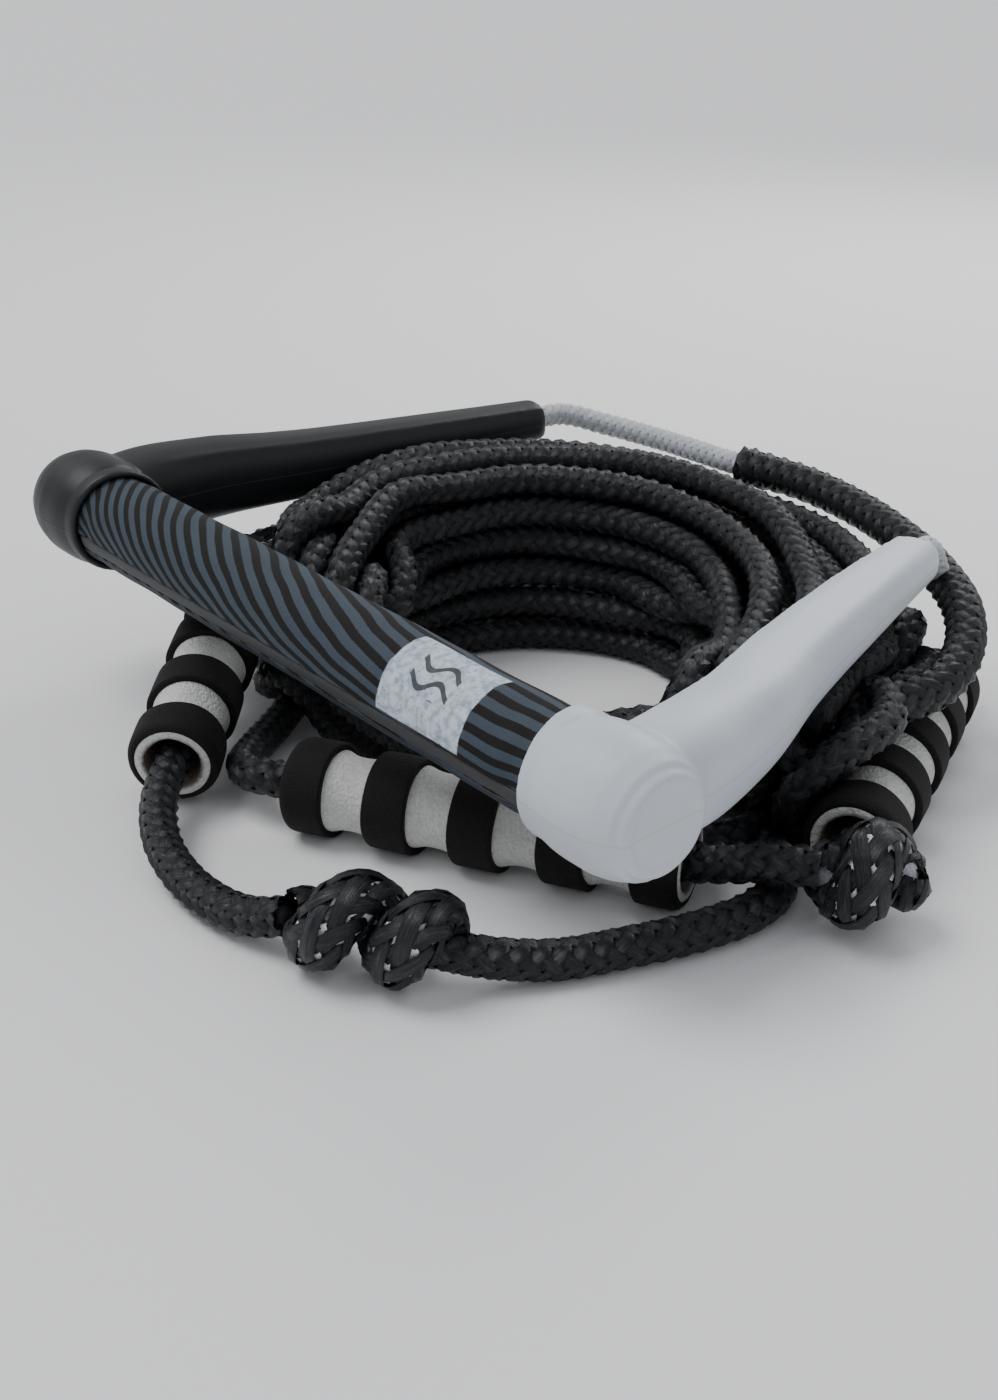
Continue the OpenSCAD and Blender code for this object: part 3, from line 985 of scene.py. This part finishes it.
        flat = np.clip((share - 0.28) / 0.1, 0, 1) * np.clip((1 - share) / 0.25, 0, 1)
        begun = np.clip((share - 0.12) / 0.1, 0, 1)
        more = begun[:, None] * ridge[None] + flat[:, None] * facet[None]
        shrink = (1 - 0.14 * closing)[:, None]
        w = (width[:, None] + more) * shrink
        h = (height[:, None] + more) * shrink
        return path[:, None] + side[:, None] * (w * cx)[..., None] + np.array([0, 0, 1]) * (h * sz)[..., None]

    def cap(self, side: Side) -> None:
        """Builds one cap: collar, elbow and arm in one smooth moulding.

        Args:
            side: Which end of the handle.
        """
        name, material, node, slot = {
            Side.LEFT: ("cap_black_moulding", self.finishes.black, "cap_black", "cap_black"),
            Side.RIGHT: ("cap_white_moulding", self.finishes.white, "cap_white", "cap_white"),
        }[side]
        body = grid_object(name, self.cap_rings())
        arm = grid_object(name + "_arm", self.arm_rings())
        join = bmesh.new()
        join.from_mesh(body.data)
        join.from_mesh(arm.data)
        join.to_mesh(body.data)
        join.free()
        bpy.data.objects.remove(arm)
        body.data.transform(Matrix.Diagonal((side.value, 1, 1, 1)))
        if side is Side.LEFT:
            body.data.flip_normals()
        remesh = body.modifiers.new("skin", "REMESH")
        remesh.mode = "VOXEL"
        remesh.voxel_size = self.voxel * MM
        smooth = body.modifiers.new("soften", "SMOOTH")
        smooth.factor = 0.5
        smooth.iterations = 3
        applied(body)
        body.data.transform(self.place())
        dress(body, "handle", slot, material, node)

    def inside(self) -> None:
        """Gives the tube, the plugs and the inner rope their finishes."""
        for node, material in {
            "grip_tube": self.finishes.metal,
            "tube_plug_left": self.finishes.plug,
            "tube_plug_right": self.finishes.plug,
            "bridle_inner": self.finishes.flecks,
        }.items():
            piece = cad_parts[node]
            piece.data.materials.clear()
            piece.data.materials.append(material)

    def build(self) -> None:
        """Builds every piece of the handle."""
        self.foam()
        self.strip()
        for side in Side:
            self.cap(side)
        self.inside()
        LOG.info("handle: foam, strip, two caps, tube, plugs and inner rope")


# ---------------------------------------------------------------- floats
@dataclass
class Floats:
    """Three foam floats, each threaded on its rope."""

    finishes: Finishes
    # Slide to either side, and room about a float, that the pile's rope keeps clear
    travel: float = 6.5
    room: float = 1.1
    length: float = 112.0
    band_r: float = 13.25
    core_r: float = 11.3
    bore_r: float = 8.0
    band_w: float = 12.4
    count: int = 5
    sag: float = 1.55
    around: int = 96

    starts = {"left": (-29, -103, 14.1), "middle": (2, -81, 13.3), "right": (122, 8, 13.3)}
    heads = {"left": (-0.72, 0.69, 0.175), "middle": (100, 52, 0), "right": (-0.45, 0.893, 0)}

    def point(self, which: str, s: float) -> np.ndarray:
        """A point on a float's axis, in the frame that the routes are drawn in."""
        return np.array(self.starts[which]) + unit(self.heads[which]) * s

    def place(self, which: str) -> Matrix:
        """Where a float's own frame stands: Z runs along its axis."""
        turn = Vector(unit(self.heads[which])).to_track_quat("Z", "Y").to_matrix().to_4x4()
        return Matrix.Translation(Vector(self.point(which, 0) + TO_MODEL) * MM) @ turn

    def rough(self, rings: np.ndarray, seed: int, depth: float) -> np.ndarray:
        """Rings with their radius gently uneven."""
        draw = np.random.default_rng(seed)
        waves = draw.uniform(0, FULL_TURN, (4, 2))
        a = np.arctan2(rings[..., 1], rings[..., 0])
        z = rings[..., 2]
        uneven = sum(
            np.sin((k + 2) * a + p) * np.sin(z * (0.11 + 0.07 * k) + q) for k, (p, q) in enumerate(waves)
        )
        factor = 1 + depth * uneven / np.maximum(np.hypot(rings[..., 0], rings[..., 1]), 1)
        return np.stack([rings[..., 0] * factor, rings[..., 1] * factor, z], axis=-1)

    def core(self, which: str, seed: int) -> None:
        """Builds the light core with its hollow waists."""
        pitch = (self.length - self.band_w) / (self.count - 1)
        profile = [(self.bore_r + 0.5, 0.0), (self.core_r - 0.8, 0.05), (self.core_r - 0.1, 0.6)]
        for b in range(self.count):
            start = b * pitch
            profile += [(self.core_r, start + 1.2), (self.core_r, start + self.band_w)]
            if b < self.count - 1:
                waist = pitch - self.band_w
                for u in np.linspace(0.06, 0.94, 11):
                    dip = self.sag * (1 - (2 * u - 1) ** 2) ** 0.6
                    profile.append((self.core_r + 0.45 - dip, start + self.band_w + waist * u))
        top = self.length
        profile += [(self.core_r - 0.1, top - 0.6), (self.core_r - 0.8, top - 0.05), (self.bore_r + 0.5, top)]
        heights = [top - 0.6, *np.linspace(top - 6, 6, 10), 0.6]
        profile += [(self.bore_r, z) for z in heights]
        rings = self.rough(turned(profile, self.around), seed, 0.12)
        piece = grid_object(f"{which}_float_foam", rings, joined=True)
        piece.matrix_world = self.place(which)
        dress(piece, f"float_{which}", "float_core", self.finishes.light_foam, f"float_{which}_core")

    def band(self, which: str, b: int, seed: int) -> None:
        """Builds one dark band, rounded more on a float's end."""
        pitch = (self.length - self.band_w) / (self.count - 1)
        low = 3.0 if b == 0 else 0.7
        high = 3.0 if b == self.count - 1 else 0.7
        z0, z1 = b * pitch, b * pitch + self.band_w
        r = self.band_r
        corner = np.linspace(0, math.pi / 2, 6)
        profile = [(self.core_r - 0.5, z0 + 0.1)]
        lows = min(low, r - self.core_r)
        highs = min(high, r - self.core_r)
        profile += [(r - lows + lows * math.sin(t), z0 + low - low * math.cos(t)) for t in corner]
        flat = z1 - high - z0 - low
        middle = np.linspace(0.1, 0.9, 6)
        profile += [(r + 0.06 * math.sin(u * math.pi), z0 + low + flat * u) for u in middle]
        profile += [(r - highs + highs * math.cos(t), z1 - high + high * math.sin(t)) for t in corner]
        profile += [(self.core_r - 0.5, z1 - 0.1)]
        rings = self.rough(turned(profile, self.around), seed, 0.07)
        wobble = 0.16 * np.sin(3 * np.linspace(0, FULL_TURN, self.around, endpoint=False) + seed)
        z = rings[..., 2]
        inside = np.clip(np.minimum(z - 0.3, self.length - 0.3 - z), 0, 1)
        rings[..., 2] += wobble[None] * inside
        piece = grid_object(f"{which}_float_band_{b + 1}", rings, joined=True)
        piece.matrix_world = self.place(which)
        dress(piece, f"float_{which}", "float_band", self.finishes.dark_foam, f"float_{which}_band_{b + 1}")

    def build(self) -> None:
        """Builds the three floats."""
        for n, which in enumerate(self.starts):
            self.core(which, 10 * n)
            for b in range(self.count):
                self.band(which, b, 10 * n + b + 1)
            LOG.info("float %s: a core and %d bands", which, self.count)


# ---------------------------------------------------------------- the ropes
@dataclass
class Pile:
    """The wound rope: full turns, and passes over the back that fold at their ends."""

    finishes: Finishes
    rope_r: float = 5.5
    highest: float = 63.0
    full_rounds: int = 90
    quick_rounds: int = 40
    # Millimetres that two crossing turns press into each other
    press: float = 0.2
    # Share of each overlap taken away in a round, from itself and from its neighbours
    own_share: float = 0.42
    other_share: float = 0.8
    longest_move: float = 2.5
    pull_home: float = 0.03
    # Smoothing that keeps the length: in by the first share, out by the second
    smoothing = (0.5, -0.515)
    last_bearing: float = 148.0
    centre: tuple[float, float] = (-3.0, 9.0)

    outer = (110, 114, 114, 116, 114, 114, 113, 100, 68, 62, 66, 88)
    inner = (46, 48, 50, 58, 66, 68, 62, 50, 38, 38, 38, 42)
    top = (42, 47, 54, 62, 68, 69, 67, 52, 26, 25, 26, 34)
    # Places in the section at the back: share of the way out, share of the way up
    passes = (
        (0.15, 1), (0, 0.2), (0, 0.6), (1, 0), (1, 0.75), (0.33, 0.8), (0.5, 1), (1, 0.2),
        (0.85, 1), (0, 0.4), (0.67, 0.6), (0, 0), (0, 0.8), (0.67, 0.8), (1, 0.5),
    )
    turns = ((0.33, 0.02), (0.67, 0.02), (0.33, 0.4), (0.67, 0.4))
    turns_front = ((0.1, 0.1), (0.9, 0.1), (0.1, 0.95), (0.9, 0.95))

    @staticmethod
    def around(table: Sequence[float], degrees: float) -> float:
        """Value at an angle of a table with one entry for each 30 degrees."""
        u = (degrees % 360) / 30
        i, t = int(u), u - int(u)
        eased = t * t * (3 - 2 * t)
        return table[i % 12] + (table[(i + 1) % 12] - table[i % 12]) * eased

    def at(self, degrees: float, out: float, high: float) -> np.ndarray:
        """A point in the pile.

        Args:
            degrees: Angle round it from +X.
            out: 0 at the inner side, 1 at the outer side.
            high: 0 on the floor, 1 at the top.

        Returns:
            The point, in millimetres.
        """
        inner = self.around(self.inner, degrees) + self.rope_r
        outer = self.around(self.outer, degrees) - self.rope_r
        shoulder = 1 - 0.22 * abs(2 * out - 1) ** 3 * high
        rise = (self.around(self.top, degrees) - 2 * self.rope_r) * shoulder
        tuck = 0.5 + (out - 0.5) * (1 - 0.1 * high)
        r = inner + (outer - inner) * tuck
        a = math.radians(degrees)
        x, y = self.centre[0] + r * math.cos(a), self.centre[1] + r * math.sin(a)
        return np.array([x, y, self.rope_r + 0.3 + rise * high])

    def fold(self, degrees: float, way: int, first: tuple, second: tuple) -> list[np.ndarray]:
        """The bend between two passes.

        Args:
            degrees: Angle at which the passes end.
            way: 1 where the angle grows on the way in.
            first: Place of the pass that comes in.
            second: Place of the pass that goes out.

        Returns:
            Points of a round bend.
        """
        a, b = self.at(degrees, *first), self.at(degrees, *second)
        turn = math.radians(degrees)
        ahead = np.array([-math.sin(turn), math.cos(turn), 0]) * way
        half = np.linalg.norm(b - a) / 2
        middle = (a + b) / 2
        bends = (0.7, 1.57, 2.44)
        return [middle + (a - middle) * math.cos(t) + ahead * half * 0.92 * math.sin(t) for t in bends]

    def route(self) -> np.ndarray:
        """The whole rope of the pile, loosely laid, before it settles."""
        draw = np.random.default_rng(7)
        points: list[np.ndarray] = [np.array([81.0, 35.0, 28.0])]
        degrees = 20.0
        for n, (back, front) in enumerate(zip(self.turns, self.turns_front)):
            for k in range(24):
                degrees = 20 + n * 360 + k * 15
                bearing = degrees % 360
                share = 0.5 - 0.5 * math.cos(math.radians(np.clip((bearing - 170) / 40, 0, 1) * 180))
                share *= 0.5 + 0.5 * math.cos(math.radians(np.clip((bearing - 340) / 40, 0, 1) * 180))
                if bearing < 20:
                    share = 0.0
                place = [b + (f - b) * share for b, f in zip(back, front)]
                points.append(self.at(degrees, *place))
        for n, place in enumerate(self.passes):
            way = 1 if n % 2 == 0 else -1
            low, high = 14 + draw.uniform(-9, 9), 198 + draw.uniform(-7, 7)
            if n == len(self.passes) - 1:
                high = self.last_bearing
            span = np.linspace(low, high, 11)[::way]
            sway = draw.uniform(0, FULL_TURN, 2)
            for k, bearing in enumerate(span):
                wander = 0.05 * math.sin(k * 0.9 + sway[0]), 0.05 * math.sin(k * 0.7 + sway[1])
                out, up = (np.clip(share + more, 0, 1) for share, more in zip(place, wander))
                points.append(self.at(bearing, out, up))
            if n < len(self.passes) - 1:
                points += self.fold(span[-1], way, place, self.passes[n + 1])
        points += [np.array(p, float) + TO_MODEL for p in ((-84, 40, 40), (-98, 22, 36))]
        return smooth_route(points, 5.0)

    def settle(self, line: np.ndarray, solids: list[tuple[np.ndarray, float]]) -> np.ndarray:
        """Moves the rope clear of itself, of the floor and of what lies round it.

        Args:
            line: The rope's middle.
            solids: Points and their radius, which the rope stays out of.

        Returns:
            The settled line.
        """
        laid, line = line, line.copy()
        ends = line[[0, -1]].copy()
        count = len(line)
        near = np.abs(np.subtract.outer(np.arange(count), np.arange(count))) < 5
        reach = 2 * self.rope_r - self.press
        for _ in range(self.full_rounds):
            gap = line[:, None] - line[None]
            far = np.sqrt((gap**2).sum(-1)) + 1e-6
            push = np.clip(reach - far, 0, None)
            push[near] = 0
            move = (gap / far[..., None] * push[..., None] * self.own_share).sum(1)
            for points, radius in solids:
                away = line[:, None] - points[None]
                dist = np.sqrt((away**2).sum(-1)) + 1e-6
                close = np.clip(radius + self.rope_r - dist, 0, None)
                pick = close.argmax(1)
                rows = np.arange(count)
                way = away[rows, pick] / dist[rows, pick][:, None]
                move += way * close[rows, pick][:, None] * self.other_share
            size = np.linalg.norm(move, axis=1, keepdims=True)
            limit = np.minimum(1, self.longest_move / np.maximum(size, 1e-6))
            line += move * limit + (laid - line) * self.pull_home
            for share in self.smoothing:
                bend = np.zeros_like(line)
                bend[1:-1] = (line[:-2] + line[2:]) / 2 - line[1:-1]
                line += bend * share
            line[:, 2] = np.clip(line[:, 2], self.rope_r + 0.05, self.highest)
            line[[0, -1]] = ends
        return smooth_route(line[::2], 3.0)

    def build(self, solids: list[tuple[np.ndarray, float]]) -> np.ndarray:
        """Args:
            solids: What the rope stays out of.

        Returns:
            The settled line.
        """
        line = self.settle(self.route(), solids)
        braid = Braid(self.rope_r, step=2.35)
        rope = braid.strands("pile_rope", line)
        nodes = ("rope_coil", "wrap_left_a", "wrap_left_b", "wrap_right_a", "wrap_right_b", "top_fold")
        dress(rope, "rope", "tow_rope", self.finishes.rope, *nodes)
        core = braid.core("pile_rope_core", line)
        dress(core, "rope", "tow_rope", self.finishes.rope_core)
        declared(self.rope_r)
        LOG.info("pile: %.2f m of rope", length_of(line) * MM)
        return line


@dataclass
class Runs:
    """The rope that leaves the pile, through the floats and the knots."""

    finishes: Finishes
    floats: Floats
    rope_r: float = 5.5
    low: float = 5.6

    def routes(self) -> dict[str, list[Sequence[float]]]:
        """Listed points of each run, in the frame that the routes are drawn in."""
        on, end = self.floats.point, self.floats.length
        low = self.low
        return {
            "left": [
                (-98, 22, 36), (-111, 12, 36.5), (-117.5, -4, 36.4), on("left", end + 12),
                on("left", end), on("left", end / 2), on("left", 0), on("left", -14), (0, -123, 8),
                (26, -127, low), (44, -125, 7), (56, -121, 11),
            ],
            "front": [
                (85, -108, 13), (98, -92, 8), (105, -79, low), (112, -62, low), (118, -42, low),
                (119.5, -25, low), (115.5, -11.5, low), (107, -2.5, low), (97.5, 4, low),
            ],
            "middle": [
                (-80, -12, 13), (-66, -32, 8), (-50, -54, 6), (-36, -72, 7), (-22, -84, 10),
                on("middle", -14), on("middle", -2), on("middle", end / 2), on("middle", end + 3),
                (113, -23.4, 15.5), (121, -19, 17.6), (129, -13, 17),
            ],
            "right": [
                on("right", -9), on("right", -3), on("right", end / 2), on("right", end + 3),
                on("right", end + 14), (58, 118, 14), (46, 112, 15),
            ],
        }

    def lines(self) -> dict[str, np.ndarray]:
        """The smooth middle line of each run, in the model's frame."""
        drawn = {name: np.array(route, float) + TO_MODEL for name, route in self.routes().items()}
        return {name: smooth_route(route, 3.0) for name, route in drawn.items()}

    def build(self) -> None:
        braid = Braid(self.rope_r, step=1.5)
        for name, line in self.lines().items():
            rope = braid.strands(f"run_{name}_rope", line)
            dress(rope, "rope", "tow_rope", self.finishes.rope, f"rope_run_{name}")
            core = braid.core(f"run_{name}_core", line)
            dress(core, "rope", "tow_rope", self.finishes.rope_core)
            declared(self.rope_r)
            LOG.info("run %s: %.3f m", name, length_of(line) * MM)


@dataclass
class Knots:
    """Two fat stopper knots in open braid, with the white core showing."""

    finishes: Finishes
    rope_r: float = 8.2
    wind_r: float = 5.6

    def wound(self, start: Sequence[float], end: Sequence[float], turns: float, begin: float) -> np.ndarray:
        """A rope wound about the line between two points.

        Args:
            start: Where the winding's middle starts.
            end: Where it ends.
            turns: How many turns.
            begin: Angle at the start, in radians.

        Returns:
            The rope's middle line.
        """
        a, b = np.array(start, float) + TO_MODEL, np.array(end, float) + TO_MODEL
        head = unit(b - a)
        side = unit(np.cross(head, (0, 0, 1)))
        up = np.cross(side, head)
        t = np.linspace(0, 1, 40)
        turn = begin + FULL_TURN * turns * t
        r = self.wind_r * np.clip(np.minimum(t, 1 - t) * 9 + 0.25, 0, 1)
        return around_line(a + (b - a) * t[:, None], side, up, r, turn)

    def build(self) -> None:
        """Builds both knots."""
        braid = Braid(self.rope_r, ribbon=3.5, lead=58, step=1.2, lift=0.62, crown=0.36, core_sides=16)
        windings = {
            "left": [(58, -121.5, 13.8), (94, -100, 13), 2.1, 2.6],
            "right": [(131, -14, 15), (145.5, 2.5, 19), 1.5, 2.2],
        }
        ends = np.array([0.5, 0.66, 0.84, 0.96, 1.0])
        taper = np.concatenate([ends, np.ones(14), ends[::-1]])
        for name, winding in windings.items():
            line = self.wound(*winding)
            line[:, 2] = np.maximum(line[:, 2], self.rope_r + 0.1)
            rope = braid.strands(f"knot_{name}_rope", line, taper)
            dress(rope, "rope", "tow_rope", self.finishes.rope, f"knot_{name}")
            core = braid.core(f"knot_{name}_core", line[2:-2], inset=1.4, swell=taper)
            dress(core, "rope", "tow_rope", self.finishes.flecks)
            LOG.info("knot %s", name)


@dataclass
class Bridle:
    """The two white legs and the black sleeve that takes them."""

    finishes: Finishes
    handle: Handle
    leg_r: float = 4.0
    sleeve_r: float = 6.3
    # Length, in leg diameters, that a leg must pass before declared is called on it
    shortest_cord: float = 6.0

    sleeve_route = (
        (-24, 118, 60), (-2, 124, 58), (22, 124, 55), (46, 118, 52), (68, 108, 49),
        (88, 94, 45), (99, 80, 40), (104, 62, 36), (100, 46, 34), (86, 34, 28),
    )

    def sleeve_line(self) -> np.ndarray:
        """The sleeve's middle line."""
        return smooth_route([np.array(p) + TO_MODEL for p in self.sleeve_route], 3.0)

    def leg(self, side: Side) -> np.ndarray:
        """A leg's middle line, from the arm's tip into the sleeve.

        Args:
            side: Which arm it leaves.

        Returns:
            Evenly spaced points.
        """
        tip = self.handle.tip(side)
        if side is Side.LEFT:
            inner = [np.array(self.sleeve_route[n]) + TO_MODEL for n in (0, 1)]
            points = [
                self.handle.tip(side, -4), self.handle.tip(side, 9),
                tip + (14, 20, -2.6), tip + (32, 27, -4.8),
                inner[0], inner[0] + (inner[1] - inner[0]) * 0.35,
            ]
        else:
            target = np.array(self.sleeve_route[4]) + TO_MODEL
            points = [self.handle.tip(side, -4), self.handle.tip(side, 7), target + (3, -5, 2)]
        return smooth_route(points, 2.0)

    def build(self) -> None:
        line = self.sleeve_line()
        flare = 1 + 0.12 * np.exp(-np.linspace(0, 40, 60) ** 2 / 3)
        weave = Braid(self.sleeve_r, ribbon=3.9, lead=44, step=1.5)
        sleeve = weave.strands("sleeve_rope", line, flare)
        dress(sleeve, "rope", "tow_rope", self.finishes.sleeve, "splice_sleeve")
        core = weave.core("sleeve_core", line)
        dress(core, "rope", "tow_rope", self.finishes.rope_core)
        declared(self.sleeve_r)
        LOG.info("sleeve: %.3f m", length_of(line) * MM)
        plait = Braid(self.leg_r, ribbon=2.7, lead=27, lift=0.42, crown=0.24, step=1.0)
        for side in Side:
            leg = self.leg(side)
            name = side.name.lower()
            rope = plait.strands(f"leg_{name}_rope", leg)
            inner = plait.core(f"leg_{name}_core", leg, inset=0.8)
            for piece, material in ((rope, self.finishes.bridle), (inner, self.finishes.flecks)):
                piece.data.materials.append(material)
                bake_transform(piece)
            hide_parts(f"bridle_leg_{name}")
            if length_of(leg) > self.shortest_cord * 2 * self.leg_r:
                declared(self.leg_r)
            LOG.info("bridle leg %s: %.3f m", name, length_of(leg) * MM)


def what_lies_round(
    handle: Handle, floats: Floats, runs: Runs, bridle: Bridle
) -> list[tuple[np.ndarray, float]]:
    """Points and radii of everything that the pile's rope stays out of."""
    half = handle.length / 2
    bar = np.array([handle.point((x, 0, 0)) for x in np.linspace(-half, half, 40)])
    solids = [(bar, handle.elbow_r)]
    for side in Side:
        a, b = handle.point((side.value * handle.elbow_x(), 0, 0)), handle.tip(side)
        solids.append((a + (b - a) * np.linspace(0, 1, 30)[:, None], ARM_ROOM))
    for which in floats.starts:
        reach = np.linspace(-floats.travel, floats.length + floats.travel, 34)
        axis = np.array([floats.point(which, s) + TO_MODEL for s in reach])
        solids.append((axis, floats.band_r + floats.room))
    lines = runs.lines()
    # A run's ends, and the sleeve's, lie against the pile and are left out
    solids += [(line[6:-4], runs.rope_r) for line in lines.values()]
    solids.append((bridle.sleeve_line()[:-9], bridle.sleeve_r))
    return solids


def main() -> None:
    """Builds the whole object, the ropes first after the camera."""
    logging.basicConfig(level=logging.INFO, format="%(message)s")
    studio = Studio()
    studio.camera()
    finishes = Finishes.make(Handle().place())
    handle = Handle(finishes)
    floats = Floats(finishes)
    runs = Runs(finishes, floats)
    bridle = Bridle(finishes, handle)
    Pile(finishes).build(what_lies_round(handle, floats, runs, bridle))
    runs.build()
    bridle.build()
    Knots(finishes).build()
    handle.build()
    floats.build()
    studio.build()


if __name__ == "__main__":
    main()
